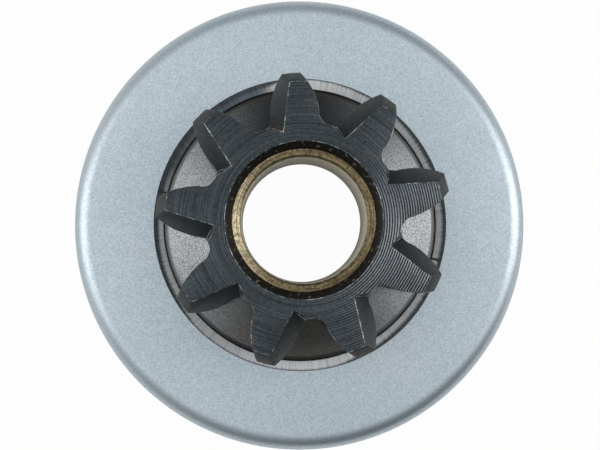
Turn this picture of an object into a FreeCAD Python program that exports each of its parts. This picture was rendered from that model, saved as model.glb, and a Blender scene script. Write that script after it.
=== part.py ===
import FreeCAD, Part
import math
import os
import Sketcher

# Starter drive: a nine-tooth pinion on a roller clutch, with a splined sleeve and a shift collar.
# The axis is Z, the pinion's nose points to +Z, and z = 0 is the rear end of the sleeve.

doc = FreeCAD.newDocument("starter_drive")
sheet = doc.addObject("Spreadsheet::Sheet", "sizes")
up = FreeCAD.Vector(0, 0, 1)

# Sleeve, from its rear end to the clutch shell
sleeve_race_step = 0.9
sleeve_recess = 0.2
shaft_clear_step = 0.45
spline_length = 10.9
spline_wall = 2.65
spline_depth = 1.0
spline_count = 10
spline_lead = 110.0
spline_tooth_share = 0.5
spline_section_count = 3
spline_run_in = 5.1
sleeve_edge = 0.6
core_allowance = 0.5

# Snap ring behind the collar
snap_height = 1.75
snap_thickness = 0.9
snap_groove_depth = 0.7
snap_rise = 1.2
snap_opening_angle = 26.0
snap_play = 0.15
snap_seat_play = 0.05

# Shift collar with its fork groove
collar_height = 3.0
collar_play = 0.05
collar_wall = 1.75
fork_groove_depth = 4.8
collar_flange_thickness = 1.8
fork_groove_width = 5.4
collar_lip = 0.8
collar_edge = 0.4

# Meshing spring between the collar and the clutch shell
spring_clearance = 2.25
spring_wire = 1.9
spring_turn_count = 3.6
spring_free_height = 13.6
spring_end_grind = 0.5
wire_side_count = 12
spring_step_count = 16

# Clutch shell and its roller pockets
shell_wall = 5.8
shell_base_thickness = 4.0
roller_length = 10.8
roller_radius = 3.25
roller_count = 5
roller_play = 0.05
roller_end_play = 0.2
groove_wall = 1.75
web_play = 0.25
ramp_angle = 5.0
pocket_inward_run = 0.55
lock_side_play = 0.45
spring_chamber_length = 5.2
spring_chamber_width = 4.6
strip_thickness = 0.3
strip_play = 0.2
strip_fold_count = 4
strip_width = 8.4
rim_height = 1.6
rim_recess_step = 0.1
shell_edge = 0.8
roller_phase_angle = 20.0

# Split washer, seal and thrust washer
split_washer_thickness = 1.2
split_washer_side_play = 0.3
split_washer_play = 0.2
split_washer_gap_angle = 1.4
groove_depth = 1.7
groove_side_play = 0.3
seal_thickness = 1.6
seal_flange_play = 0.45
seal_play = 0.15
seal_side_play = 0.3
thrust_thickness = 0.95
thrust_width = 2.3
thrust_play = 0.15
thrust_seat_play = 0.05

# Clutch cover
cover_sheet = 1.4
cover_play = 0.2
cover_corner = 1.85
cover_hole_play = 0.15
cover_hole_lip = 1.0
cover_rear_corner = 1.5
cover_rear_lip_width = 4.9

# Pinion
flange_overhang = 0.35
flange_depth_under_face = 1.0
flange_edge = 0.45
neck_width = 1.4
neck_radius = 9.5
tooth_length = 19.6
tooth_count = 9
tip_radius = 15.0
root_radius = 9.9
pitch_radius = 11.43
pressure_angle = 12.0
flank_middle_share = 0.6
tooth_thickness = 5.05
tooth_phase_angle = 15.0
tip_chamfer = 1.0
tip_chamfer_length = 1.2
tip_rear_chamfer = 0.5
lead_start_radius = 8.82
lead_start_offset = 1.35
lead_turn_angle = 12.0
lead_width = 2.1
lead_start_width = 0.02
lead_slope_angle = 50.0
lead_end_run = 0.7
bush_wall = 0.905
relief_step = 0.77
mouth_step = 0.72
mouth_depth = 0.8

# Bush for a half-inch shaft
shaft_radius = 6.35
shaft_play = 0.025
bush_length = 12.7
bush_edge = 0.25

entered = []


def size(name, content):
    """Put one size into the sheet: a plain number, or a formula of other sizes."""
    entered.append(name)
    row = len(entered)
    sheet.set(f"A{row}", name)
    sheet.set(f"B{row}", str(content))
    sheet.setAlias(f"B{row}", name)


# Every plain number above goes into the sheet under its own name.
for name, content in dict(globals()).items():
    if type(content) in (int, float) and not name.startswith("_"):
        size(name, content)

# Heights and radii that follow from the sizes above
size("bush_bore_radius", "=shaft_radius + shaft_play")
size("bush_seat_radius", "=bush_bore_radius + bush_wall")
size("relief_bore_radius", "=bush_seat_radius + relief_step")
size("mouth_radius", "=bush_seat_radius + mouth_step")
size("groove_radius", "=relief_bore_radius + groove_wall")
size("race_radius", "=groove_radius + groove_depth")
size("sleeve_radius", "=race_radius + sleeve_race_step")
size("spline_major_radius", "=sleeve_radius - spline_wall")
size("spline_minor_radius", "=spline_major_radius - spline_depth")
size("shaft_clear_radius", "=spline_major_radius + shaft_clear_step")
size("snap_outer_radius", "=sleeve_radius + snap_rise")
size("spring_mean_radius", "=sleeve_radius + spring_clearance + spring_wire / 2")
size("snap_inner_radius", "=sleeve_radius - snap_groove_depth + snap_seat_play")
size("snap_top", "=snap_height + snap_thickness")
size("groove_floor_radius", "=sleeve_radius - snap_groove_depth")
size("groove_rear", "=snap_height - snap_play")
size("groove_front", "=snap_top + snap_play")
size("sleeve_edge_radius", "=sleeve_radius - sleeve_edge")
size("collar_bore_radius", "=sleeve_radius + collar_play")
size("collar_hub_radius", "=collar_bore_radius + collar_wall")
size("collar_flange_radius", "=collar_hub_radius + fork_groove_depth")
size("rear_flange_top", "=collar_height + collar_flange_thickness")
size("front_flange_rear", "=rear_flange_top + fork_groove_width")
size("collar_top", "=front_flange_rear + collar_flange_thickness")
size("collar_step_radius", "=collar_hub_radius - collar_lip")
size("shell_rear", "=collar_top + spring_free_height")
size("cavity_floor", "=shell_rear + shell_base_thickness")
size("sleeve_length", "=cavity_floor - sleeve_recess")
size("shaft_clear_depth", "=sleeve_length - spline_length")
size("roller_rear", "=cavity_floor + roller_end_play")
size("roller_front", "=roller_rear + roller_length")
size("recess_floor", "=roller_front + roller_end_play")
size("shell_front", "=recess_floor + rim_height")
size("web_radius", "=race_radius + web_play")
size("roller_circle_radius", "=race_radius + roller_radius + roller_play")
size("pocket_outer_radius", "=roller_circle_radius + roller_radius + roller_play")
size("shell_radius", "=pocket_outer_radius + shell_wall")
size("rim_recess_radius", "=pocket_outer_radius + rim_recess_step")
size("split_washer_radius", "=rim_recess_radius - split_washer_side_play")
size("thrust_inner_radius", "=race_radius - thrust_width")
size("flange_radius", "=tip_radius + flange_overhang")
size("seal_inner_radius", "=flange_radius + seal_flange_play")
size("cover_hole_radius", "=flange_radius + cover_hole_play")
size("split_washer_rear", "=recess_floor + split_washer_play")
size("split_washer_front", "=split_washer_rear + split_washer_thickness")
size("split_washer_inner_radius", "=groove_radius + groove_side_play")
size("pinion_groove_rear", "=split_washer_rear - split_washer_play")
size("flange_rear", "=split_washer_front + split_washer_play")
size("seal_rear", "=shell_front + seal_play")
size("seal_front", "=seal_rear + seal_thickness")
size("seal_outer_radius", "=shell_radius - seal_side_play")
size("cover_inside", "=seal_front + seal_play")
size("cover_face", "=cover_inside + cover_sheet")
size("cover_inner_radius", "=shell_radius + cover_play")
size("cover_radius", "=cover_inner_radius + cover_sheet")
size("cover_rear_lip_radius", "=cover_radius - cover_rear_lip_width")
size("cover_lip_front", "=shell_rear - cover_play")
size("cover_rear", "=cover_lip_front - cover_sheet")
size("flange_front", "=cover_face - flange_depth_under_face")
size("flange_edge_radius", "=flange_radius - flange_edge")
size("flange_edge_height", "=flange_front - flange_edge")
size("teeth_rear", "=flange_front + neck_width")
size("nose", "=teeth_rear + tooth_length")
size("tip_edge_radius", "=tip_radius - tip_chamfer")
size("tip_edge_height", "=nose - tip_chamfer_length")
size("tip_rear_radius", "=tip_radius - tip_rear_chamfer")
size("tip_rear_height", "=teeth_rear + tip_rear_chamfer")
size("mouth_floor", "=nose - mouth_depth")
size("bush_front", "=mouth_floor")
size("bush_rear", "=bush_front - bush_length")
size("core_radius", "=spline_minor_radius - core_allowance")
size("thrust_rear", "=sleeve_length + thrust_seat_play")
size("thrust_front", "=thrust_rear + thrust_thickness")
size("thrust_outer_radius", "=race_radius - thrust_play")
size("hub_rear", "=thrust_front + thrust_play")
doc.recompute()


def value(name):
    """The present value of a size."""
    return float(sheet.get(name))


def body_of(label):
    """A new body whose label is the sub-part's name."""
    body = doc.addObject("PartDesign::Body", label + "_body")
    body.Label = label
    return body


def plane_of(body, role):
    """One of a body's own origin planes or axes."""
    return next(feature for feature in body.Origin.OriginFeatures if feature.Role == role)


def outline(body, name, role, corners):
    """A closed outline of straight lines whose corners are pairs of sizes."""
    sketch = body.newObject("Sketcher::SketchObject", name)
    sketch.AttachmentSupport = [(plane_of(body, role), "")]
    sketch.MapMode = "FlatFace"
    points = []
    for across, along in corners:
        height = value(along) if along else 0.0
        points.append(FreeCAD.Vector(value(across), height, 0))
    count = len(points)
    for i in range(count):
        sketch.addGeometry(Part.LineSegment(points[i], points[(i + 1) % count]), False)
    for i in range(count):
        sketch.addConstraint(Sketcher.Constraint("Coincident", i, 2, (i + 1) % count, 1))
    for i, (across, along) in enumerate(corners):
        index = sketch.addConstraint(Sketcher.Constraint("DistanceX", -1, 1, i, 1, points[i].x))
        sketch.setExpression(f"Constraints[{index}]", f"sizes.{across}")
        if along:
            index = sketch.addConstraint(Sketcher.Constraint("DistanceY", -1, 1, i, 1, points[i].y))
            sketch.setExpression(f"Constraints[{index}]", f"sizes.{along}")
        else:
            sketch.addConstraint(Sketcher.Constraint("PointOnObject", i, 1, -1))
    return sketch


def turned(body, name, corners, angle=None):
    """A solid turned about Z from an outline of radius and height pairs."""
    sketch = outline(body, name + "_profile", "XZ_Plane", corners)
    turn = body.newObject("PartDesign::Revolution", name)
    turn.Profile = sketch
    turn.ReferenceAxis = (sketch, ["V_Axis"])
    turn.Angle = 360.0
    if angle:
        turn.setExpression("Angle", angle)
    doc.recompute()
    return turn


def ring_edges(feature, rings):
    """The names of a feature's round edges at the given radius and height sizes."""
    found = []
    for index, edge in enumerate(feature.Shape.Edges, 1):
        if not isinstance(edge.Curve, Part.Circle):
            continue
        for radius, height in rings:
            same_radius = abs(edge.Curve.Radius - value(radius)) < 1e-4
            same_height = abs(edge.Curve.Center.z - (value(height) if height else 0.0)) < 1e-4
            if same_radius and same_height:
                found.append(f"Edge{index}")
    return found


def bevelled(body, base, name, rings, size_name):
    """Chamfer a turned solid's edges at the given rings."""
    chamfer = body.newObject("PartDesign::Chamfer", name)
    chamfer.Base = (base, ring_edges(base, rings))
    chamfer.setExpression("Size", f"sizes.{size_name}")
    doc.recompute()
    return chamfer


def polar(radius, angle, height=0.0):
    """A point from its radius, its angle in radians and its height."""
    return FreeCAD.Vector(radius * math.cos(angle), radius * math.sin(angle), height)


def around(body, name, originals, axis_owner, count):
    """Repeat features round the body's Z axis."""
    pattern = body.newObject("PartDesign::PolarPattern", name)
    pattern.Originals = originals
    pattern.Axis = (axis_owner, ["N_Axis"])
    pattern.Angle = 360.0
    pattern.setExpression("Occurrences", f"sizes.{count}")
    body.Tip = pattern
    doc.recompute()
    return pattern


def involute(angle):
    """The involute function of an angle in radians."""
    return math.tan(angle) - angle


def tooth_space_outline(sketch):
    """The gap between two teeth: a round root, two flanks as arcs through an involute, and the outside."""
    pressure = math.radians(value("pressure_angle"))
    base_radius = value("pitch_radius") * math.cos(pressure)
    outer_radius = value("tip_radius") + value("tip_chamfer")
    half_pitch = math.pi / value("tooth_count")
    half_tooth = value("tooth_thickness") / (2 * value("pitch_radius")) + involute(pressure)
    rising = []
    falling = []
    for share in (0.0, value("flank_middle_share"), 1.0):
        radius = base_radius + (outer_radius - base_radius) * share
        angle = half_pitch - half_tooth + involute(math.acos(base_radius / radius))
        rising.append(polar(radius, angle))
        falling.append(polar(radius, -angle))
    root = FreeCAD.Vector(value("root_radius"), 0, 0)
    outside = FreeCAD.Vector(outer_radius, 0, 0)
    sketch.addGeometry(Part.Arc(*rising), False)
    sketch.addGeometry(Part.Arc(*falling), False)
    sketch.addGeometry(Part.Arc(falling[0], root, rising[0]), False)
    sketch.addGeometry(Part.Arc(falling[-1], outside, rising[-1]), False)


def make_pinion():
    """The toothed pinion with its flange and the clutch's inner race, cut from one bar."""
    body = body_of("pinion")
    turned(body, "pinion_blank", [
        ("relief_bore_radius", "hub_rear"),
        ("race_radius", "hub_rear"),
        ("race_radius", "pinion_groove_rear"),
        ("groove_radius", "pinion_groove_rear"),
        ("groove_radius", "flange_rear"),
        ("flange_radius", "flange_rear"),
        ("flange_radius", "flange_edge_height"),
        ("flange_edge_radius", "flange_front"),
        ("neck_radius", "flange_front"),
        ("neck_radius", "teeth_rear"),
        ("tip_rear_radius", "teeth_rear"),
        ("tip_radius", "tip_rear_height"),
        ("tip_radius", "tip_edge_height"),
        ("tip_edge_radius", "nose"),
        ("mouth_radius", "nose"),
        ("bush_seat_radius", "mouth_floor"),
        ("bush_seat_radius", "bush_rear"),
        ("relief_bore_radius", "bush_rear"),
    ])

    # The space between two teeth runs from the nose into the neck behind the teeth.
    space = body.newObject("Sketcher::SketchObject", "tooth_space_profile")
    space.AttachmentSupport = [(plane_of(body, "XY_Plane"), "")]
    space.MapMode = "FlatFace"
    space_angle = value("tooth_phase_angle") + 180.0 / value("tooth_count")
    turn = FreeCAD.Rotation(up, space_angle)
    space.AttachmentOffset = FreeCAD.Placement(FreeCAD.Vector(0, 0, value("nose")), turn)
    space.setExpression("AttachmentOffset.Base.z", "sizes.nose")
    tooth_space_outline(space)
    cut = body.newObject("PartDesign::Pocket", "tooth_space")
    cut.Profile = space
    cut.setExpression("Length", "sizes.tooth_length + sizes.neck_width / 2")
    doc.recompute()
    around(body, "tooth_spaces", [cut], space, "tooth_count")

    # The slanted lead-in on one side of each tooth's front end, with a short end wall at the root.
    lead = body.newObject("PartDesign::SubtractiveWedge", "lead_in")
    depth = "sizes.lead_width * tan(sizes.lead_slope_angle)"
    lead.setExpression("Ymin", f"-{depth}")
    lead.setExpression("Ymax", "sizes.tip_chamfer")
    lead.setExpression("Xmin", "sizes.lead_end_run")
    lead.setExpression("Xmax", "sizes.tip_radius")
    lead.setExpression("Zmin", "-sizes.lead_width")
    lead.setExpression("Zmax", "-sizes.lead_width + sizes.lead_start_width")
    lead.X2min = 0.0
    lead.setExpression("X2max", "sizes.tip_radius")
    lead.setExpression("Z2min", "-sizes.lead_width")
    lead.setExpression("Z2max", "sizes.tip_chamfer / tan(sizes.lead_slope_angle)")
    tooth_angle = math.radians(value("tooth_phase_angle"))
    along = polar(1.0, tooth_angle - math.radians(value("lead_turn_angle")))
    start_angle = tooth_angle + math.atan2(value("lead_start_offset"), value("lead_start_radius"))
    start = polar(math.hypot(value("lead_start_radius"), value("lead_start_offset")), start_angle)
    start.z = value("nose")
    lead.Placement = FreeCAD.Placement(start, FreeCAD.Rotation(along, up, along.cross(up), "XYZ"))
    doc.recompute()
    around(body, "lead_ins", [lead], space, "tooth_count")
    return body


def make_front_bush():
    """The plain bearing bush in the pinion's nose."""
    body = body_of("front_bush")
    blank = turned(body, "bush_blank", [
        ("bush_bore_radius", "bush_rear"),
        ("bush_seat_radius", "bush_rear"),
        ("bush_seat_radius", "bush_front"),
        ("bush_bore_radius", "bush_front"),
    ])
    ends = [("bush_bore_radius", "bush_rear"), ("bush_bore_radius", "bush_front")]
    bevelled(body, blank, "bush_ends", ends, "bush_edge")
    return body


def make_cover():
    """The drawn steel cover, with a lip round the hole in its face and its rear edge rolled in."""
    body = body_of("clutch_cover")
    shape = turned(body, "cover_blank", [
        ("cover_hole_radius", "cover_inside"),
        ("cover_inner_radius", "cover_inside"),
        ("cover_inner_radius", "cover_lip_front"),
        ("cover_rear_lip_radius", "cover_lip_front"),
        ("cover_rear_lip_radius", "cover_rear"),
        ("cover_radius", "cover_rear"),
        ("cover_radius", "cover_face"),
        ("cover_hole_radius", "cover_face"),
    ])
    shape = bevelled(body, shape, "cover_front_corner", [("cover_radius", "cover_face")], "cover_corner")
    shape = bevelled(body, shape, "cover_hole_lip", [("cover_hole_radius", "cover_face")], "cover_hole_lip")
    bevelled(body, shape, "cover_rear_bend", [("cover_radius", "cover_rear")], "cover_rear_corner")
    return body


def make_shell():
    """The clutch's outer race: a thick cup with five ramped pockets round the rollers."""
    body = body_of("clutch_shell")
    blank = turned(body, "shell_blank", [
        ("sleeve_radius", "shell_rear"),
        ("shell_radius", "shell_rear"),
        ("shell_radius", "shell_front"),
        ("rim_recess_radius", "shell_front"),
        ("rim_recess_radius", "recess_floor"),
        ("web_radius", "recess_floor"),
        ("web_radius", "cavity_floor"),
        ("sleeve_radius", "cavity_floor"),
    ])
    bevelled(body, blank, "shell_rear_edge", [("shell_radius", "shell_rear")], "shell_edge")

    # One pocket: a ramp over the roller, narrowing to the lock side, and a chamber for its spring.
    pocket = body.newObject("Sketcher::SketchObject", "ramp_pocket_profile")
    pocket.AttachmentSupport = [(plane_of(body, "XY_Plane"), "")]
    pocket.MapMode = "FlatFace"
    turn = FreeCAD.Rotation(up, value("roller_phase_angle"))
    pocket.AttachmentOffset = FreeCAD.Placement(FreeCAD.Vector(0, 0, value("recess_floor")), turn)
    pocket.setExpression("AttachmentOffset.Base.z", "sizes.recess_floor")
    slope = math.tan(math.radians(value("ramp_angle")))
    reach = value("roller_radius") + value("lock_side_play")
    outer = value("pocket_outer_radius") + value("roller_radius") * slope
    middle = value("roller_circle_radius")
    half_width = value("spring_chamber_width") / 2
    chamber_end = reach + value("spring_chamber_length")
    inner = value("web_radius") - value("pocket_inward_run")
    corners = [
        FreeCAD.Vector(inner, -reach, 0),
        FreeCAD.Vector(outer - reach * slope, -reach, 0),
        FreeCAD.Vector(outer + reach * slope, reach, 0),
        FreeCAD.Vector(middle + half_width, reach, 0),
        FreeCAD.Vector(middle + half_width, chamber_end, 0),
        FreeCAD.Vector(middle - half_width, chamber_end, 0),
        FreeCAD.Vector(middle - half_width, reach, 0),
        FreeCAD.Vector(inner, reach, 0),
    ]
    for i, corner in enumerate(corners):
        pocket.addGeometry(Part.LineSegment(corner, corners[(i + 1) % len(corners)]), False)
    cut = body.newObject("PartDesign::Pocket", "ramp_pocket")
    cut.Profile = pocket
    cut.setExpression("Length", "sizes.recess_floor - sizes.cavity_floor")
    doc.recompute()
    around(body, "ramp_pockets", [cut], pocket, "roller_count")
    return body


def spline_section(height):
    """The bore's section at one height: grooves and lands turned along the helix."""
    count = round(value("spline_count"))
    step = 2 * math.pi / count
    land = step * value("spline_tooth_share") / 2
    turn = 2 * math.pi * height / value("spline_lead")
    minor = value("spline_minor_radius")
    major = value("spline_major_radius")
    corners = []
    for i in range(count):
        middle = turn + i * step
        corners.append(polar(minor, middle - land, height))
        corners.append(polar(minor, middle + land, height))
        corners.append(polar(major, middle + land, height))
        corners.append(polar(major, middle + step - land, height))
    return Part.makePolygon(corners + [corners[0]])


def make_sleeve():
    """The sleeve that slides on the shaft, with helical splines in its bore."""
    body = body_of("sleeve_blank")
    turned(body, "sleeve_turning", [
        ("shaft_clear_radius", ""),
        ("sleeve_edge_radius", ""),
        ("sleeve_radius", "sleeve_edge"),
        ("sleeve_radius", "groove_rear"),
        ("groove_floor_radius", "groove_rear"),
        ("groove_floor_radius", "groove_front"),
        ("sleeve_radius", "groove_front"),
        ("sleeve_radius", "sleeve_length"),
        ("core_radius", "sleeve_length"),
        ("core_radius", "shaft_clear_depth"),
        ("shaft_clear_radius", "shaft_clear_depth"),
    ])
    sections = round(value("spline_section_count"))
    start = value("shaft_clear_depth") - value("spline_run_in")
    end = value("sleeve_length") + value("sleeve_edge")
    heights = [start + (end - start) * i / (sections - 1) for i in range(sections)]
    cutter = doc.addObject("Part::Feature", "spline_cutter")
    cutter.Shape = Part.makeLoft([spline_section(height) for height in heights], True, False)
    cutter.Placement = FreeCAD.Placement()
    sleeve = doc.addObject("Part::Cut", "sleeve_with_splines")
    sleeve.Base = body
    sleeve.Tool = cutter
    sleeve.Label = "spline_sleeve"
    doc.recompute()
    return sleeve


def make_ring(label, inner, outer, rear, front):
    """A plain flat ring."""
    body = body_of(label)
    turned(body, label + "_blank", [(inner, rear), (outer, rear), (outer, front), (inner, front)])
    return body


def make_split_washer(label, turn):
    """One half of the washer that holds the pinion's groove."""
    body = body_of(label)
    turned(body, label + "_blank", [
        ("split_washer_inner_radius", "split_washer_rear"),
        ("split_washer_radius", "split_washer_rear"),
        ("split_washer_radius", "split_washer_front"),
        ("split_washer_inner_radius", "split_washer_front"),
    ], "180 - sizes.split_washer_gap_angle")
    body.Placement = FreeCAD.Placement(FreeCAD.Vector(), FreeCAD.Rotation(up, turn))
    return body


def make_snap_ring():
    """The open ring that stops the collar at the sleeve's rear end."""
    body = body_of("snap_ring")
    turned(body, "snap_ring_blank", [
        ("snap_inner_radius", "snap_height"),
        ("snap_outer_radius", "snap_height"),
        ("snap_outer_radius", "snap_top"),
        ("snap_inner_radius", "snap_top"),
    ], "360 - sizes.snap_opening_angle")
    turn = FreeCAD.Rotation(up, value("snap_opening_angle") / 2)
    body.Placement = FreeCAD.Placement(FreeCAD.Vector(), turn)
    return body


def make_collar():
    """The collar's hub with its rear flange and a step for the front plate."""
    body = body_of("shift_collar")
    blank = turned(body, "collar_blank", [
        ("collar_bore_radius", "collar_height"),
        ("collar_flange_radius", "collar_height"),
        ("collar_flange_radius", "rear_flange_top"),
        ("collar_hub_radius", "rear_flange_top"),
        ("collar_hub_radius", "front_flange_rear"),
        ("collar_step_radius", "front_flange_rear"),
        ("collar_step_radius", "collar_top"),
        ("collar_bore_radius", "collar_top"),
    ])
    bevelled(body, blank, "collar_rim", [("collar_flange_radius", "collar_height")], "collar_edge")
    return body


def make_collar_plate():
    """The collar's front plate, pressed on the hub's step."""
    body = body_of("collar_plate")
    blank = turned(body, "collar_plate_blank", [
        ("collar_step_radius", "front_flange_rear"),
        ("collar_flange_radius", "front_flange_rear"),
        ("collar_flange_radius", "collar_top"),
        ("collar_step_radius", "collar_top"),
    ])
    bevelled(body, blank, "plate_rim", [("collar_flange_radius", "collar_top")], "collar_edge")
    return body


def wire_section(angle, rise):
    """The spring wire's section at one angle round the coil, square to the helix."""
    radius = value("spring_mean_radius")
    sides = round(value("wire_side_count"))
    middle = polar(radius, angle, rise * angle / (2 * math.pi))
    slope = math.atan(rise / (2 * math.pi * radius))
    along = polar(math.cos(slope), angle + math.pi / 2, math.sin(slope))
    outward = polar(1.0, angle)
    across = along.cross(outward)
    corners = []
    for i in range(sides):
        turn = 2 * math.pi * i / sides
        corner = (outward * math.cos(turn) + across * math.sin(turn)) * (value("spring_wire") / 2)
        corners.append(middle + corner)
    return Part.makePolygon(corners + [corners[0]])


def make_meshing_spring():
    """The coil spring between collar and shell, its ends ground flat."""
    turns = value("spring_turn_count")
    rise = (value("spring_free_height") - 2 * value("spring_end_grind")) / turns
    steps = round(turns * value("spring_step_count"))
    sections = [wire_section(2 * math.pi * turns * i / steps, rise) for i in range(steps + 1)]
    coil = doc.addObject("Part::Feature", "spring_coil")
    coil.Shape = Part.makeLoft(sections, True, True)
    coil.Placement = FreeCAD.Placement()
    room = doc.addObject("Part::Cylinder", "spring_room")
    room.setExpression("Radius", "sizes.spring_mean_radius + sizes.spring_wire")
    room.setExpression("Height", "sizes.spring_free_height")
    room.setExpression("Placement.Base.z", "-sizes.spring_end_grind")
    spring = doc.addObject("Part::Common", "ground_spring")
    spring.Base = coil
    spring.Tool = room
    spring.Label = "meshing_spring"
    spring.setExpression("Placement.Base.z", "sizes.collar_top + sizes.spring_end_grind")
    doc.recompute()
    return spring


def roller_place(index):
    """The angle of one roller in radians."""
    return math.radians(value("roller_phase_angle") + index * 360.0 / value("roller_count"))


def make_roller(index):
    """One hardened roller between the ramp and the inner race."""
    blank = doc.addObject("Part::Cylinder", f"roller_blank_{index + 1}")
    blank.setExpression("Radius", "sizes.roller_radius")
    blank.setExpression("Height", "sizes.roller_length")
    place = polar(value("roller_circle_radius"), roller_place(index), value("roller_rear"))
    blank.Placement = FreeCAD.Placement(place, FreeCAD.Rotation())
    blank.setExpression("Placement.Base.z", "sizes.roller_rear")
    blank.Label = f"roller_{index + 1}"
    return blank


def make_roller_spring(index):
    """One folded strip spring behind a roller, zigzag in plan and straight in height."""
    folds = round(value("strip_fold_count"))
    middle = value("roller_circle_radius")
    play = value("strip_play")
    half_width = value("spring_chamber_width") / 2 - play
    reach = value("roller_radius") + value("lock_side_play")
    start = value("roller_radius") + play
    end = reach + value("spring_chamber_length") - play
    thick = value("strip_thickness")
    step = (end - start) / folds
    miter = thick / 2 / math.sin(math.atan(step / (2 * half_width)))
    near = []
    far = []
    for i in range(folds + 1):
        side = half_width - miter
        if i % 2:
            side = -side
        near.append(FreeCAD.Vector(middle + side - miter, start + i * step, 0))
        far.append(FreeCAD.Vector(middle + side + miter, start + i * step, 0))
    ring = near + list(reversed(far))
    strip = doc.addObject("Part::Feature", f"strip_profile_{index + 1}")
    strip.Shape = Part.Face(Part.makePolygon(ring + [ring[0]]))
    spring = doc.addObject("Part::Extrusion", f"strip_spring_{index + 1}")
    spring.Base = strip
    spring.DirMode = "Custom"
    spring.Dir = up
    spring.setExpression("LengthFwd", "sizes.strip_width")
    spring.Solid = True
    spring.Label = f"roller_spring_{index + 1}"
    turn = FreeCAD.Rotation(up, math.degrees(roller_place(index)))
    spring.Placement = FreeCAD.Placement(FreeCAD.Vector(0, 0, 0), turn)
    lift = "sizes.roller_rear + (sizes.roller_length - sizes.strip_width) / 2"
    spring.setExpression("Placement.Base.z", lift)
    return spring


parts = [
    make_pinion(),
    make_front_bush(),
    make_cover(),
    make_shell(),
    make_sleeve(),
    make_ring("seal_washer", "seal_inner_radius", "seal_outer_radius", "seal_rear", "seal_front"),
    make_ring("thrust_washer", "thrust_inner_radius", "thrust_outer_radius", "thrust_rear", "thrust_front"),
    make_split_washer("split_washer_a", 0.0),
    make_split_washer("split_washer_b", 180.0),
    make_snap_ring(),
    make_collar(),
    make_collar_plate(),
    make_meshing_spring(),
]
for index in range(round(value("roller_count"))):
    parts.append(make_roller(index))
    parts.append(make_roller_spring(index))
doc.recompute()

# Every object has to be sound before any file is written.
for item in doc.Objects:
    if "Invalid" in item.State or "Error" in item.State:
        raise RuntimeError(f"{item.Name} failed: {item.State}")
for part in parts:
    if part.Shape.isNull() or not part.Shape.isValid():
        raise RuntimeError(f"{part.Label} has no sound shape")

os.makedirs("parts", exist_ok=True)
for part in parts:
    part.Shape.exportStep(os.path.join("parts", part.Label + ".step"))
    box = part.Shape.BoundBox
    count = len(part.Shape.Solids)
    print(f"{part.Label}: {count} solid, {part.Shape.Volume:.1f} mm3, z {box.ZMin:.2f} to {box.ZMax:.2f}")
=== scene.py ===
import bmesh
import bpy
import math
from mathutils import Matrix, Vector


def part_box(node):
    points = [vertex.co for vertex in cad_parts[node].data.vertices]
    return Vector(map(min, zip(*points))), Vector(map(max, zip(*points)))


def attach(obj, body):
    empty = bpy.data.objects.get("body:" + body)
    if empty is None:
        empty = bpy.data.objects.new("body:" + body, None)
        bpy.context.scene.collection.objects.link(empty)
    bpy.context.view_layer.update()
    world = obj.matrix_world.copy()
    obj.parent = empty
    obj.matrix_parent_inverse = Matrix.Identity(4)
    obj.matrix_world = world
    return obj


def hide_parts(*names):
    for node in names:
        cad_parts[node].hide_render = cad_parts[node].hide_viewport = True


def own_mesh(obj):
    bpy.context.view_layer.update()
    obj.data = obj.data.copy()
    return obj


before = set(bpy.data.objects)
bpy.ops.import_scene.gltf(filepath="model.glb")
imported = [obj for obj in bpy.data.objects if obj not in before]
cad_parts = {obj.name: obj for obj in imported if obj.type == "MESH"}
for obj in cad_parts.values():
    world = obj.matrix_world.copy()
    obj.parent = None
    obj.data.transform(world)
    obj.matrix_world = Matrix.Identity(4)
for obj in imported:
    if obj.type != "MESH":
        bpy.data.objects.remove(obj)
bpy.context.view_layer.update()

# A starter drive seen from the nose of its pinion. All lengths are in metres.
MM = 0.001
SMOOTH_ANGLE = math.radians(32)
scene = bpy.context.scene


def top_of(node):
    """The height of a node's front end."""
    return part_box(node)[1].z


def bottom_of(node):
    """The height of a node's rear end."""
    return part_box(node)[0].z


def radius_of(node):
    """A turned node's outer radius."""
    low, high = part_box(node)
    return (high.x - low.x) / 2


# Places that follow from the frame
NOSE = top_of("pinion")
COVER_FACE = top_of("clutch_cover")
COVER_REAR = bottom_of("clutch_cover")
COVER_RADIUS = radius_of("clutch_cover")
BUSH_RADIUS = radius_of("front_bush")

# The pinion
TIP_RADIUS = 15.0 * MM
TIP_ROUND = 0.45 * MM                # where the lead-in runs into the tip chamfer
EDGE_BREAK = 0.07 * MM
FLANGE_FRONT = COVER_FACE - 1.0 * MM
FLANGE_RADIUS = 15.35 * MM
RIM_WIDTH = 0.47 * MM                # the chamfer round the flange
MOUTH_WIDTH = 0.70 * MM              # the chamfer between nose and bush, painted dark as shade
LEAD_IN_DEPTH = 4.0 * MM
GROOVE_PITCH = 0.26 * MM             # the coarse turning rings, drawn only as painted highlight lines on the nose
NOSE_RING_DEPTH = 0.02 * MM
FLANGE_RING_DEPTH = 0.03 * MM
ROOT_STAIN = (-3.1 * MM, 9.3 * MM, NOSE - 0.7 * MM)

# The bush and the joint of its rolled strip, a slanting line in its bore
BORE_RADIUS = 6.375 * MM
SEAM_START = math.radians(-48)       # at the nose
SEAM_SLANT = 80.0                    # radians per metre of depth
SEAM_HALF_WIDTH = math.radians(2.6)

# The lip of the cover's hole: how far out its painted highlight band reaches, at angles round the hole,
# where the band turns to painted blue shade, in shares of the turn from -180 degrees, and its two nicks
LIP_BREAK = 0.06 * MM
LIP_INNER = 15.3 * MM
LIP_OUTER = 16.6 * MM
LIP_REACH = ((-180, 0.48), (-148, 0.58), (-135, 0.82), (-75, 0.82), (-68, 0.65), (-45, 0.55), (0, 0.58),
             (30, 0.53), (60, 0.72), (80, 0.84), (96, 0.80), (104, 0.50), (165, 0.42), (180, 0.48))
LIP_SHADE = ((0.775, (0, 0, 0)), (0.795, (1, 1, 1)), (0.93, (1, 1, 1)), (0.985, (0, 0, 0)))
LIP_NICKS = (-14.4, 166.6)

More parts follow.
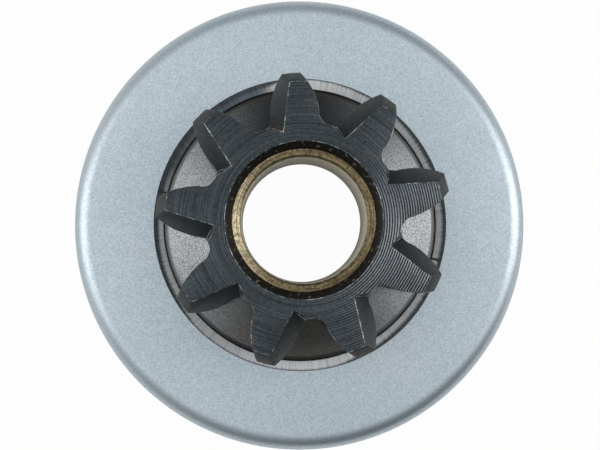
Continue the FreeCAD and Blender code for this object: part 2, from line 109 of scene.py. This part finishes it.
# Brightness of the studio tent overhead, at the edge of that light, and at the sides
OVERHEAD = 0.78
OVERHEAD_EDGE = 0.24
SIDE_GLOW = 0.12


# Shaders

def new_material(name):
    """A material with an empty node tree and its output."""
    material = bpy.data.materials.new(name)
    material.use_nodes = True
    tree = material.node_tree
    tree.nodes.clear()
    output = tree.nodes.new("ShaderNodeOutputMaterial")
    shader = tree.nodes.new("ShaderNodeBsdfPrincipled")
    tree.links.new(shader.outputs["BSDF"], output.inputs["Surface"])
    return material, tree, shader


def node(tree, kind, **values):
    """A node with its properties or sockets set by name."""
    made = tree.nodes.new(kind)
    for name, value in values.items():
        if name in made.inputs:
            made.inputs[name].default_value = value
        else:
            setattr(made, name, value)
    return made


def object_place(tree):
    """The point's own coordinates on the object."""
    return node(tree, "ShaderNodeTexCoord").outputs["Object"]


def noise(tree, place, scale, detail=3.0, roughness=0.55, stretch=None):
    """Noise over the object, in features per metre, stretched along its axes if asked."""
    if stretch:
        mapping = node(tree, "ShaderNodeMapping")
        mapping.inputs["Scale"].default_value = stretch
        tree.links.new(place, mapping.inputs["Vector"])
        place = mapping.outputs["Vector"]
    made = node(tree, "ShaderNodeTexNoise", Scale=scale, Detail=detail, Roughness=roughness)
    tree.links.new(place, made.inputs["Vector"])
    return made.outputs["Fac"]


def ramp(tree, factor, stops):
    """A colour ramp through (position, colour) stops."""
    made = node(tree, "ShaderNodeValToRGB")
    elements = made.color_ramp.elements
    while len(elements) < len(stops):
        elements.new(0.5)
    for element, (position, colour) in zip(elements, stops):
        element.position = position
        element.color = (*colour, 1.0)
    tree.links.new(factor, made.inputs["Fac"])
    return made.outputs["Color"]


def scalar(tree, operation, first, second=None, third=None):
    """One math node."""
    made = node(tree, "ShaderNodeMath", operation=operation)
    for socket, value in zip(made.inputs, (first, second, third)):
        if value is None:
            continue
        if isinstance(value, (int, float)):
            socket.default_value = value
        else:
            tree.links.new(value, socket)
    return made.outputs["Value"]


def remap(tree, value, low, high, new_low, new_high):
    """A value's range moved to another, and held inside it."""
    made = node(tree, "ShaderNodeMapRange")
    made.inputs["From Min"].default_value = low
    made.inputs["From Max"].default_value = high
    made.inputs["To Min"].default_value = new_low
    made.inputs["To Max"].default_value = new_high
    tree.links.new(value, made.inputs["Value"])
    return made.outputs["Result"]


def mixed(tree, factor, first, second, blend="MIX"):
    """Two colours mixed."""
    made = node(tree, "ShaderNodeMix", data_type="RGBA", blend_type=blend)
    for socket, value in ((made.inputs[0], factor), (made.inputs[6], first), (made.inputs[7], second)):
        if isinstance(value, (int, float)):
            socket.default_value = value
        elif isinstance(value, tuple):
            socket.default_value = (*value, 1.0)
        else:
            tree.links.new(value, socket)
    return made.outputs[2]


def radius_from_axis(tree, place):
    """The distance from the Z axis, the height and the angle round the axis."""
    split = node(tree, "ShaderNodeSeparateXYZ")
    tree.links.new(place, split.inputs["Vector"])
    squares = scalar(tree, "ADD", scalar(tree, "MULTIPLY", split.outputs["X"], split.outputs["X"]),
                     scalar(tree, "MULTIPLY", split.outputs["Y"], split.outputs["Y"]))
    angle = scalar(tree, "ARCTAN2", split.outputs["Y"], split.outputs["X"])
    return scalar(tree, "SQRT", squares), split.outputs["Z"], angle


def bumped(tree, shader, height, distance, strength=1.0, below=None):
    """Add a bump to the shader, over an earlier one if there is one."""
    bump = node(tree, "ShaderNodeBump", Distance=distance, Strength=strength)
    tree.links.new(height, bump.inputs["Height"])
    if below:
        tree.links.new(below, bump.inputs["Normal"])
    tree.links.new(bump.outputs["Normal"], shader.inputs["Normal"])
    return bump.outputs["Normal"]


def turning_lines(tree, place, along, pitch, detail=2.5):
    """Fine uneven rings left by a turning tool, a pitch apart, that fade in and out round the axis."""
    split = node(tree, "ShaderNodeSeparateXYZ")
    tree.links.new(place, split.inputs["Vector"])
    joined = node(tree, "ShaderNodeCombineXYZ")
    tree.links.new(scalar(tree, "MULTIPLY", along, 1.0 / pitch), joined.inputs["X"])
    tree.links.new(scalar(tree, "MULTIPLY", split.outputs["X"], 60.0), joined.inputs["Y"])
    tree.links.new(scalar(tree, "MULTIPLY", split.outputs["Y"], 60.0), joined.inputs["Z"])
    return noise(tree, joined.outputs["Vector"], 1.0, detail, 0.6)


def unit_round(tree, place):
    """The direction from the Z axis, of unit length, so that noise over it only runs round the part."""
    flat = node(tree, "ShaderNodeVectorMath", operation="MULTIPLY")
    tree.links.new(place, flat.inputs[0])
    flat.inputs[1].default_value = (1.0, 1.0, 0.0)
    unit = node(tree, "ShaderNodeVectorMath", operation="NORMALIZE")
    tree.links.new(flat.outputs["Vector"], unit.inputs[0])
    return unit.outputs["Vector"]


def leaning_up(tree, share):
    """The surface's normal leaning towards the nose, for a bend that was coined almost flat."""
    lean = node(tree, "ShaderNodeVectorMath", operation="MULTIPLY_ADD")
    tree.links.new(node(tree, "ShaderNodeNewGeometry").outputs["Normal"], lean.inputs[0])
    lean.inputs[1].default_value = (share, share, share)
    lean.inputs[2].default_value = (0.0, 0.0, 1.0 - share)
    unit = node(tree, "ShaderNodeVectorMath", operation="NORMALIZE")
    tree.links.new(lean.outputs["Vector"], unit.inputs[0])
    return unit.outputs["Vector"]


def lobe(tree, angle, degrees, power):
    """A soft lobe round the axis, 1 towards an angle and 0 from a right angle off it."""
    turned_to = scalar(tree, "COSINE", scalar(tree, "SUBTRACT", angle, math.radians(degrees)))
    return scalar(tree, "POWER", scalar(tree, "MAXIMUM", turned_to, 0.0), power)


def zinc_material():
    """Blue-white zinc on drawn sheet: satin, with a fine speckle and faint cloudiness."""
    material, tree, shader = new_material("zinc_plate")
    place = object_place(tree)
    speckle = noise(tree, place, 5200.0, 3.0, 0.7)
    cloud = noise(tree, place, 110.0, 3.0)
    grain = ramp(tree, speckle, [(0.30, (0.500, 0.580, 0.630)), (0.70, (0.790, 0.860, 0.890))])
    tone = ramp(tree, cloud, [(0.3, (0.93, 0.95, 0.97)), (0.7, (1.0, 1.0, 0.99))])
    tree.links.new(mixed(tree, 1.0, grain, tone, "MULTIPLY"), shader.inputs["Base Color"])
    shader.inputs["Metallic"].default_value = 1.0
    tree.links.new(remap(tree, speckle, 0.3, 0.7, 0.50, 0.38), shader.inputs["Roughness"])
    bumped(tree, shader, speckle, 0.012 * MM, 0.5)
    return material


def lip_material():
    """The hole's lip: a painted highlight on its inner band, painted shadow above it and painted blue shade
    over the band at some angles, with fine lines running down.
    """
    material, tree, shader = new_material("lip_lines_painted_light_and_shade")
    place = object_place(tree)
    radius, _, angle = radius_from_axis(tree, place)
    turn = remap(tree, angle, -math.pi, math.pi, 0.0, 1.0)
    lines = noise(tree, unit_round(tree, place), 70.0, 4.0, 0.7)
    reach = ramp(tree, turn, [(degrees / 360 + 0.5, (share, share, share)) for degrees, share in LIP_REACH])
    edge = scalar(tree, "ADD", LIP_INNER, scalar(tree, "MULTIPLY", reach, LIP_OUTER - LIP_INNER))
    edge = scalar(tree, "ADD", edge, scalar(tree, "MULTIPLY", scalar(tree, "SUBTRACT", lines, 0.5), 0.3 * MM))
    # Painted light: bright marks the painted highlight band, light is that highlight, dark is painted shadow
    # outside it, blue is painted shade in the band's place at some angles
    bright = remap(tree, scalar(tree, "SUBTRACT", edge, radius), -0.16 * MM, 0.16 * MM, 0.0, 1.0)
    light = ramp(tree, lines, [(0.30, (0.62, 0.66, 0.68)), (0.55, (1.0, 1.0, 1.0))])
    dark = ramp(tree, lines, [(0.30, (0.012, 0.018, 0.026)), (0.70, (0.085, 0.105, 0.125))])
    blue = ramp(tree, lines, [(0.30, (0.085, 0.110, 0.130)), (0.65, (0.225, 0.275, 0.310))])
    light = mixed(tree, ramp(tree, turn, LIP_SHADE), light, blue)
    colour = mixed(tree, bright, dark, light)
    for degrees in LIP_NICKS:
        off = scalar(tree, "ABSOLUTE", scalar(tree, "SUBTRACT", angle, math.radians(degrees)))
        nick = scalar(tree, "LESS_THAN", off, math.radians(0.5))
        colour = mixed(tree, nick, colour, (0.01, 0.01, 0.012))
    tree.links.new(colour, shader.inputs["Base Color"])
    shader.inputs["Metallic"].default_value = 0.0
    shader.inputs["Specular IOR Level"].default_value = 1.0
    shader.inputs["Roughness"].default_value = 0.30
    bumped(tree, shader, lines, 0.03 * MM, 1.0, leaning_up(tree, 0.22))
    return material


def worn_edge_material():
    """Steel worn bright and broken along a sharp edge."""
    material, tree, shader = new_material("worn_edge")
    place = object_place(tree)
    wear = noise(tree, place, 700.0, 6.0, 0.85)
    tone = ramp(tree, wear, [(0.48, (0.055, 0.063, 0.070)), (0.64, (0.70, 0.72, 0.73))])
    tree.links.new(tone, shader.inputs["Base Color"])
    shader.inputs["Metallic"].default_value = 0.6
    shader.inputs["Roughness"].default_value = 0.38
    return material


def pinion_material():
    """Dark hardened steel: turned on its nose, ground on its lead-ins, with a blasted flange; the nose's
    coarse grooves, the flange and its rim carry painted highlight and painted shade by angle round the axis,
    and the mouth is painted dark as shade.
    """
    material, tree, shader = new_material("hardened_steel")
    place = object_place(tree)
    radius, height, angle = radius_from_axis(tree, place)
    blast = noise(tree, place, 7500.0, 3.0, 0.6)
    stain = noise(tree, place, 260.0, 3.0)
    rings = turning_lines(tree, place, radius, 0.085 * MM, 1.0)
    wander = scalar(tree, "MULTIPLY", noise(tree, place, 160.0, 2.0), 7.0)
    grooves = scalar(tree, "MULTIPLY", radius, 2 * math.pi / GROOVE_PITCH)
    grooves = scalar(tree, "SINE", scalar(tree, "ADD", grooves, wander))
    on_nose = scalar(tree, "GREATER_THAN", height, NOSE - 0.02 * MM)
    on_flange = scalar(tree, "LESS_THAN", height, FLANGE_FRONT + 0.02 * MM)
    in_mouth = scalar(tree, "LESS_THAN", radius, BUSH_RADIUS + MOUTH_WIDTH)
    grain = noise(tree, place, 3800.0, 3.0, 0.7)
    grain = ramp(tree, grain, [(0.32, (0.72, 0.72, 0.72)), (0.68, (1.35, 1.35, 1.33))])
    dark = ramp(tree, stain, [(0.3, (0.040, 0.046, 0.051)), (0.7, (0.066, 0.075, 0.082))])
    outward = remap(tree, radius, 8.5 * MM, TIP_RADIUS, 0.0, 1.0)
    cut = ramp(tree, outward, [(0.0, (0.030, 0.034, 0.036)), (0.55, (0.050, 0.056, 0.059)),
                               (1.0, (0.090, 0.097, 0.096))])
    on_cut = scalar(tree, "GREATER_THAN", height, NOSE - LEAD_IN_DEPTH)
    dark = mixed(tree, on_cut, dark, cut)
    fine = ramp(tree, rings, [(0.35, (0.034, 0.042, 0.048)), (0.65, (0.080, 0.093, 0.103))])
    coarse = ramp(tree, remap(tree, grooves, -1.0, 1.0, 0.0, 1.0),
                  [(0.45, (0.028, 0.034, 0.039)), (0.95, (0.42, 0.44, 0.455))])
    # Painted highlight: the coarse grooves show bright only towards -16 degrees round the axis, where light
    # falls on them
    nose = mixed(tree, scalar(tree, "MULTIPLY", lobe(tree, angle, -16, 3.5), 0.85), fine, coarse)
    # Painted light and shade on the blasted flange: lit colours towards 0 and 178 degrees round the axis,
    # shaded colours between, and darker painted shade towards 95 degrees
    shade = scalar(tree, "ADD", lobe(tree, angle, 0, 2.6), lobe(tree, angle, 178, 3.0))
    flange_shaded = ramp(tree, blast, [(0.35, (0.085, 0.082, 0.077)), (0.70, (0.165, 0.158, 0.148))])
    flange_darker_side = scalar(tree, "MULTIPLY", lobe(tree, angle, 95, 1.0), 0.85)
    flange_shaded = mixed(tree, flange_darker_side, flange_shaded, (0.020, 0.021, 0.022))
    flange_lit = ramp(tree, blast, [(0.30, (0.22, 0.22, 0.225)), (0.60, (0.85, 0.86, 0.87))])
    flange = mixed(tree, shade, flange_shaded, flange_lit)
    colour = mixed(tree, 1.0, mixed(tree, on_nose, dark, nose), grain, "MULTIPLY")
    on_rim = scalar(tree, "GREATER_THAN", radius, FLANGE_RADIUS - RIM_WIDTH)
    on_rim = scalar(tree, "MULTIPLY", on_flange, on_rim)
    colour = mixed(tree, on_flange, colour, flange)
    # Painted light and shade on the rim chamfer: pale where the flange is painted lit, dark where it is
    # painted shaded
    colour = mixed(tree, on_rim, colour, mixed(tree, shade, (0.050, 0.047, 0.043), (0.50, 0.51, 0.51)))
    specks = noise(tree, place, 2400.0, 2.0, 0.6)
    # Painted shade: the mouth chamfer is near black, with a few pale specks
    mouth = ramp(tree, specks, [(0.60, (0.026, 0.025, 0.023)), (0.70, (0.22, 0.21, 0.18))])
    colour = mixed(tree, in_mouth, colour, mouth)
    from_stain = node(tree, "ShaderNodeVectorMath", operation="DISTANCE")
    tree.links.new(place, from_stain.inputs[0])
    from_stain.inputs[1].default_value = ROOT_STAIN
    rust = remap(tree, from_stain.outputs["Value"], 0.4 * MM, 1.1 * MM, 1.3, 0.0)
    rust = scalar(tree, "MULTIPLY", rust, specks)
    colour = mixed(tree, remap(tree, rust, 0.25, 0.6, 0.0, 0.7), colour, (0.085, 0.062, 0.044))
    tree.links.new(colour, shader.inputs["Base Color"])
    tree.links.new(remap(tree, on_rim, 0.0, 1.0, 0.85, 0.1), shader.inputs["Metallic"])
    rough = scalar(tree, "ADD", 0.36, scalar(tree, "MULTIPLY", stain, 0.15))
    tree.links.new(rough, shader.inputs["Roughness"])
    ring_height = scalar(tree, "ADD", scalar(tree, "MULTIPLY", on_nose, NOSE_RING_DEPTH),
                         scalar(tree, "MULTIPLY", on_flange, FLANGE_RING_DEPTH))
    first = bumped(tree, shader, scalar(tree, "MULTIPLY", rings, ring_height), 1.0, 1.0)
    bumped(tree, shader, scalar(tree, "MULTIPLY", blast, on_flange), 0.03 * MM, 1.0, first)
    return material


def bronze_material():
    """Bored bronze with rings from the tool, the rings carrying a painted highlight towards 185 degrees round
    the axis, the bore painted pale as light coming up through it, with the joint of the rolled strip.
    """
    material, tree, shader = new_material("bush_bronze")
    place = object_place(tree)
    radius, height, angle = radius_from_axis(tree, place)
    rings = turning_lines(tree, place, scalar(tree, "ADD", radius, height), 0.10 * MM)
    speckle = noise(tree, place, 2600.0, 4.0)
    tone = ramp(tree, rings, [(0.32, (0.052, 0.041, 0.024)), (0.68, (0.28, 0.225, 0.135))])
    spots = noise(tree, place, 3600.0, 3.0, 0.7)
    spots = ramp(tree, spots, [(0.35, (0.55, 0.55, 0.55)), (0.70, (2.2, 2.1, 1.8))])
    # Painted highlight: the rings turn pale towards 185 degrees round the axis, where light falls on them
    left = scalar(tree, "MULTIPLY", lobe(tree, angle, 185, 3.0), 0.7)
    pale = ramp(tree, rings, [(0.38, (0.15, 0.115, 0.065)), (0.60, (0.80, 0.72, 0.53))])
    tone = mixed(tree, left, tone, pale)
    tone = mixed(tree, 1.0, tone, spots, "MULTIPLY")
    # Painted light: the bore's wall is pale, standing in for light coming up through the bore
    bore = ramp(tree, speckle, [(0.35, (0.62, 0.57, 0.43)), (0.65, (1.0, 0.97, 0.85))])
    in_bore = scalar(tree, "LESS_THAN", radius, BORE_RADIUS + 0.03 * MM)
    depth = scalar(tree, "SUBTRACT", NOSE, height)
    seam_turn = scalar(tree, "ADD", SEAM_START, scalar(tree, "MULTIPLY", depth, -SEAM_SLANT))
    off_seam = scalar(tree, "ABSOLUTE", scalar(tree, "SUBTRACT", angle, seam_turn))
    seam = scalar(tree, "LESS_THAN", off_seam, SEAM_HALF_WIDTH)
    colour = mixed(tree, in_bore, tone, bore)
    colour = mixed(tree, scalar(tree, "MULTIPLY", seam, in_bore), colour, (0.015, 0.013, 0.011))
    tree.links.new(colour, shader.inputs["Base Color"])
    tree.links.new(remap(tree, in_bore, 0.0, 1.0, 0.9, 0.15), shader.inputs["Metallic"])
    shader.inputs["Roughness"].default_value = 0.38
    bumped(tree, shader, rings, 0.012 * MM, 1.0)
    return material


def turned_steel_material():
    """Turned and oiled steel, with rings along its length."""
    material, tree, shader = new_material("turned_steel")
    place = object_place(tree)
    radius, height, _ = radius_from_axis(tree, place)
    rings = turning_lines(tree, place, scalar(tree, "ADD", height, radius), 0.20 * MM)
    stain = noise(tree, place, 300.0, 3.0)
    tone = ramp(tree, stain, [(0.3, (0.34, 0.345, 0.35)), (0.7, (0.50, 0.505, 0.51))])
    tree.links.new(tone, shader.inputs["Base Color"])
    shader.inputs["Metallic"].default_value = 1.0
    tree.links.new(remap(tree, stain, 0.3, 0.7, 0.36, 0.26), shader.inputs["Roughness"])
    bumped(tree, shader, rings, 0.02 * MM, 1.0)
    return material


def spring_material():
    """Oil-tempered spring wire, near black with a brown cast."""
    material, tree, shader = new_material("spring_wire")
    place = object_place(tree)
    stain = noise(tree, place, 420.0, 4.0)
    tone = ramp(tree, stain, [(0.3, (0.075, 0.070, 0.068)), (0.7, (0.17, 0.155, 0.145))])
    tree.links.new(tone, shader.inputs["Base Color"])
    shader.inputs["Metallic"].default_value = 0.9
    tree.links.new(remap(tree, stain, 0.3, 0.7, 0.42, 0.30), shader.inputs["Roughness"])
    bumped(tree, shader, noise(tree, place, 2600.0, 3.0), 0.01 * MM, 0.6)
    return material


def felt_material():
    """Pressed felt, soaked with grease."""
    material, tree, shader = new_material("greased_felt")
    place = object_place(tree)
    fibre = noise(tree, place, 1900.0, 5.0, 0.8)
    tone = ramp(tree, fibre, [(0.3, (0.12, 0.11, 0.095)), (0.7, (0.30, 0.28, 0.25))])
    tree.links.new(tone, shader.inputs["Base Color"])
    shader.inputs["Roughness"].default_value = 0.8
    bumped(tree, shader, fibre, 0.15 * MM, 1.0)
    return material


zinc = zinc_material()
# The lip's material: fine lines, with painted highlight, shadow and blue shade
lip_lines_and_painted_light = lip_material()
worn = worn_edge_material()
hardened = pinion_material()
bronze = bronze_material()
turned = turned_steel_material()
tempered = spring_material()
felt = felt_material()


# Pieces

def mesh_piece(name, work, material, body, slot, *nodes):
    """Turn a bmesh into a piece that rides on a body, takes a finish and stands for CAD nodes."""
    mesh = bpy.data.meshes.new(name)
    work.to_mesh(mesh)
    work.free()
    for polygon in mesh.polygons:
        polygon.use_smooth = True
    mesh.set_sharp_from_angle(angle=SMOOTH_ANGLE)
    mesh.materials.append(material)
    piece = bpy.data.objects.new(name, mesh)
    scene.collection.objects.link(piece)
    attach(piece, body)
    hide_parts(*nodes)
    return piece


def copy_of(node_name):
    """A CAD node's mesh as a merged bmesh with its flat faces made whole."""
    work = bmesh.new()
    work.from_mesh(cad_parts[node_name].data)
    bmesh.ops.remove_doubles(work, verts=work.verts, dist=0.002 * MM)
    bmesh.ops.dissolve_limit(work, angle_limit=math.radians(0.4), verts=work.verts, edges=work.edges)
    return work


def soften(work, width, segments=2, angle=30):
    """Break every sharp edge by a small width."""
    limit = math.radians(angle)
    sharp = [edge for edge in work.edges if edge.is_manifold and edge.calc_face_angle(0.0) > limit]
    made = bmesh.ops.bevel(work, geom=sharp, offset=width, offset_type="OFFSET", segments=segments,
                           profile=0.5, affect="EDGES", clamp_overlap=True, material=-1)
    return made["faces"]


def spun(profile, steps):
    """A closed profile of (radius, height) points turned round the Z axis."""
    work = bmesh.new()
    points = [work.verts.new((radius, 0.0, height)) for radius, height in profile]
    loop = [work.edges.new((points[i], points[(i + 1) % len(points)])) for i in range(len(points))]
    bmesh.ops.spin(work, geom=points + loop, cent=(0, 0, 0), axis=(0, 0, 1), dvec=(0, 0, 0),
                   angle=2 * math.pi, steps=steps, use_merge=True, use_duplicate=False)
    bmesh.ops.recalc_face_normals(work, faces=work.faces)
    return work


def arc(centre, radius, start, end, steps):
    """Points on an arc in the profile's plane, with angles in degrees."""
    points = []
    for i in range(steps + 1):
        turn = math.radians(start + (end - start) * i / steps)
        points.append((centre[0] + radius * math.cos(turn), centre[1] + radius * math.sin(turn)))
    return points


def make_cover():
    """The drawn cover: a rounded shoulder, a lip rolled into the hole and a rear edge rolled over."""
    sheet = 1.4 * MM
    shoulder = 1.85 * MM
    lip = 1.0 * MM
    hole = 15.42 * MM
    rear_bend = 1.5 * MM
    rear_lip = 20.6 * MM
    inner = COVER_RADIUS - sheet
    inside = COVER_FACE - sheet
    profile = []
    profile += arc((COVER_RADIUS - shoulder, COVER_FACE - shoulder), shoulder, 0, 90, 10)
    profile += [(hole + lip + LIP_BREAK, COVER_FACE), (hole + lip, COVER_FACE - LIP_BREAK)]
    profile += [(hole + 0.04 * MM, COVER_FACE - lip), (hole, inside)]
    profile += arc((inner - 0.45 * MM, inside - 0.45 * MM), 0.45 * MM, 90, 0, 4)
    profile += [(inner, COVER_REAR + sheet), (rear_lip + 0.3 * MM, COVER_REAR + sheet)]
    profile += [(rear_lip, COVER_REAR + sheet - 0.3 * MM), (rear_lip, COVER_REAR + 0.3 * MM)]
    profile += [(rear_lip + 0.3 * MM, COVER_REAR)]
    profile += arc((COVER_RADIUS - rear_bend, COVER_REAR + rear_bend), rear_bend, 270, 360, 8)
    work = spun(profile, 180)
    for face in work.faces:
        middle = face.calc_center_median()
        across = math.hypot(middle.x, middle.y)
        if hole < across < hole + lip and middle.z > inside:
            face.material_index = 1
    piece = mesh_piece("cover", work, zinc, "drive", "zinc_sheet", "clutch_cover")
    # The lip's faces take the material with painted highlight, shadow and blue shade
    piece.data.materials.append(lip_lines_and_painted_light)
    return piece


def make_pinion():
    """The pinion, from its CAD form: lead-ins rounded into the tip chamfers, other edges just broken."""
    work = copy_of("pinion")
    corners = []
    for edge in work.edges:
        if not edge.is_manifold or edge.calc_face_angle(0.0) < math.radians(15):
            continue
        near = min(math.hypot(*vertex.co.xy) for vertex in edge.verts)
        slopes = [abs(face.normal.z) for face in edge.link_faces]
        if near > TIP_RADIUS - 1.8 * MM and all(0.15 < slope < 0.97 for slope in slopes):
            corners.append(edge)
    bmesh.ops.bevel(work, geom=corners, offset=TIP_ROUND, offset_type="OFFSET", segments=4,
                    profile=0.5, affect="EDGES", clamp_overlap=True, material=-1)
    for face in soften(work, EDGE_BREAK, 2, 25):
        if max(vertex.co.z for vertex in face.verts) > NOSE - 0.12 * MM:
            face.material_index = 1
    piece = mesh_piece("toothed_pinion", work, hardened, "pinion_group", "hardened_steel", "pinion")
    piece.data.materials.append(worn)
    return piece


def make_from_cad(name, node_name, material, body, slot):
    """A piece from its CAD form, with its sharp edges just broken."""
    work = copy_of(node_name)
    soften(work, 0.08 * MM)
    return mesh_piece(name, work, material, body, slot, node_name)


def make_spring():
    """The meshing spring, with both end coils closed and ground."""
    wire = 0.95 * MM
    coil = 15.6 * MM
    low_z = top_of("shift_collar")
    high_z = bottom_of("clutch_shell")
    per_turn = 48
    turns = 3.6
    closed = 0.4
    count = round(turns * per_turn)
    heights = []
    for i in range(count + 1):
        free = (turns * i / count - closed) / (turns - 2 * closed)
        share = min(max(free, 0.0), 1.0)
        share = share * share * (3 - 2 * share) * 0.35 + share * 0.65
        heights.append(low_z + wire * 0.75 + (high_z - low_z - 2 * wire * 0.75) * share)
    work = bmesh.new()
    bmesh.ops.create_circle(work, radius=wire, segments=16)
    stand = Matrix.Translation((coil, 0, heights[0])) @ Matrix.Rotation(math.pi / 2, 4, "X")
    bmesh.ops.transform(work, matrix=stand, verts=work.verts)
    end = work.verts[:] + work.edges[:]
    for low, high in zip(heights, heights[1:]):
        made = bmesh.ops.spin(work, geom=end, cent=(0, 0, 0), axis=(0, 0, 1), dvec=(0, 0, high - low),
                              angle=2 * math.pi / per_turn, steps=1, use_merge=False, use_duplicate=False)
        end = made["geom_last"]
    bmesh.ops.holes_fill(work, edges=work.edges, sides=0)
    bmesh.ops.recalc_face_normals(work, faces=work.faces)
    for vertex in work.verts:
        vertex.co.z = min(max(vertex.co.z, low_z), high_z)
    spring = mesh_piece("coil_spring", work, tempered, "drive", "spring_steel", "meshing_spring")
    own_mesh(spring)


make_cover()
make_pinion()
make_from_cad("nose_bush", "front_bush", bronze, "pinion_group", "bronze")
make_from_cad("sleeve", "spline_sleeve", turned, "drive", "turned_steel")
make_from_cad("collar_hub", "shift_collar", turned, "collar", "turned_steel")
make_from_cad("collar_front_plate", "collar_plate", zinc, "collar", "zinc_sheet")
make_from_cad("stop_ring", "snap_ring", tempered, "drive", "spring_steel")
make_spring()

finishes = {"clutch_shell": turned, "seal_washer": felt, "thrust_washer": bronze,
            "split_washer_a": tempered, "split_washer_b": tempered}
for i in range(1, 6):
    finishes[f"roller_{i}"] = turned
    finishes[f"roller_spring_{i}"] = tempered
for name, material in finishes.items():
    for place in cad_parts[name].material_slots:
        place.link = "OBJECT"
        place.material = material


# Floor, lights and camera

def plain_floor():
    """A pale floor that the camera sees almost white, with the object's soft shadow."""
    mesh = bpy.data.meshes.new("floor")
    work = bmesh.new()
    bmesh.ops.create_grid(work, x_segments=1, y_segments=1, size=1.5)
    work.to_mesh(mesh)
    work.free()
    floor = bpy.data.objects.new("floor", mesh)
    scene.collection.objects.link(floor)
    material = bpy.data.materials.new("floor_white")
    material.use_nodes = True
    tree = material.node_tree
    tree.nodes.clear()
    output = node(tree, "ShaderNodeOutputMaterial")
    paper = node(tree, "ShaderNodeBsdfDiffuse", Color=(0.80, 0.80, 0.80, 1.0))
    white = node(tree, "ShaderNodeEmission", Color=(1, 1, 1, 1), Strength=1.0)
    path = node(tree, "ShaderNodeLightPath")
    seen = scalar(tree, "MAXIMUM", path.outputs["Is Camera Ray"], path.outputs["Is Transmission Ray"])
    seen = scalar(tree, "MAXIMUM", seen, scalar(tree, "MULTIPLY", path.outputs["Is Glossy Ray"], 0.25))
    seen = scalar(tree, "MAXIMUM", seen, scalar(tree, "MULTIPLY", path.outputs["Is Diffuse Ray"], 0.45))
    away, _, _ = radius_from_axis(tree, object_place(tree))
    share = scalar(tree, "MULTIPLY", seen, remap(tree, away, 0.25, 1.2, 0.97, 1.0))
    mix = node(tree, "ShaderNodeMixShader")
    tree.links.new(share, mix.inputs["Fac"])
    tree.links.new(paper.outputs["BSDF"], mix.inputs[1])
    tree.links.new(white.outputs["Emission"], mix.inputs[2])
    tree.links.new(mix.outputs["Shader"], output.inputs["Surface"])
    mesh.materials.append(material)


def soft_world():
    """A studio tent: light overhead, dim in front and behind, white where the camera sees it."""
    world = bpy.data.worlds.new("studio")
    scene.world = world
    world.use_nodes = True
    tree = world.node_tree
    tree.nodes.clear()
    output = node(tree, "ShaderNodeOutputWorld")
    split = node(tree, "ShaderNodeSeparateXYZ")
    tree.links.new(node(tree, "ShaderNodeTexCoord").outputs["Generated"], split.inputs["Vector"])
    overhead = remap(tree, split.outputs["Z"], 0.70, 0.98, OVERHEAD_EDGE, OVERHEAD)
    sideways = scalar(tree, "POWER", scalar(tree, "ABSOLUTE", split.outputs["X"]), 2.0)
    sideways = scalar(tree, "MULTIPLY", sideways, SIDE_GLOW)
    room = node(tree, "ShaderNodeBackground", Color=(0.93, 0.97, 1.0, 1.0))
    lean = scalar(tree, "ADD", 1.0, scalar(tree, "MULTIPLY", split.outputs["X"], -0.6))
    lean = scalar(tree, "ADD", lean, scalar(tree, "MULTIPLY", split.outputs["Y"], 0.5))
    overhead = scalar(tree, "MULTIPLY", overhead, lean)
    tree.links.new(scalar(tree, "ADD", overhead, sideways), room.inputs["Strength"])
    white = node(tree, "ShaderNodeBackground", Color=(1, 1, 1, 1), Strength=1.0)
    path = node(tree, "ShaderNodeLightPath")
    mix = node(tree, "ShaderNodeMixShader")
    tree.links.new(path.outputs["Is Camera Ray"], mix.inputs["Fac"])
    tree.links.new(room.outputs["Background"], mix.inputs[1])
    tree.links.new(white.outputs["Background"], mix.inputs[2])
    tree.links.new(mix.outputs["Shader"], output.inputs["Surface"])


def soft_box(name, place, width, height, power):
    """One rectangular soft lamp that faces the object's middle."""
    light = bpy.data.lights.new(name, "AREA")
    light.shape = "RECTANGLE"
    light.size = width
    light.size_y = height
    light.energy = power
    lamp = bpy.data.objects.new(name, light)
    scene.collection.objects.link(lamp)
    lamp.location = place
    aim = Vector((0, 0, 0.04)) - Vector(place)
    lamp.rotation_euler = aim.to_track_quat("-Z", "Y").to_euler()


def photo_camera():
    """The photograph's view: down the axis, from a little left of and below it, aimed at the middle."""
    image_width = 600
    image_height = 450
    nose_scale = 9.967 / MM          # pixels per metre at the pinion's nose
    distance = 163.4 * MM            # from the nose plane
    axis_foot = (267.0, 261.0)       # where lines along the axis meet in the picture
    nose_centre = (304.2, 220.1)     # the middle of the bore's mouth in the picture
    focal = nose_scale * distance
    across = (nose_centre[0] - axis_foot[0]) / nose_scale
    upward = (axis_foot[1] - nose_centre[1]) / nose_scale
    place = Vector((-across, -upward, NOSE + distance))
    aim = Vector(((image_width / 2 - axis_foot[0]) / focal, (axis_foot[1] - image_height / 2) / focal, -1.0))
    aim.normalize()
    right = (Vector((1, 0, 0)) - aim * aim.x).normalized()
    up = right.cross(aim)
    data = bpy.data.cameras.new("photo_camera")
    data.sensor_width = 36.0
    data.lens = data.sensor_width * focal / image_width
    data.clip_start = 0.01
    camera = bpy.data.objects.new("photo_camera", data)
    scene.collection.objects.link(camera)
    turn = Matrix((right, up, -aim)).transposed()
    camera.matrix_world = Matrix.Translation(place) @ turn.to_4x4()
    scene.camera = camera


plain_floor()
soft_world()
soft_box("right_box", (0.37, 0.04, 0.32), 0.22, 0.44, 0.80)
soft_box("left_box", (-0.37, 0.0, 0.32), 0.22, 0.40, 0.55)
photo_camera()
scene.view_settings.view_transform = "Standard"
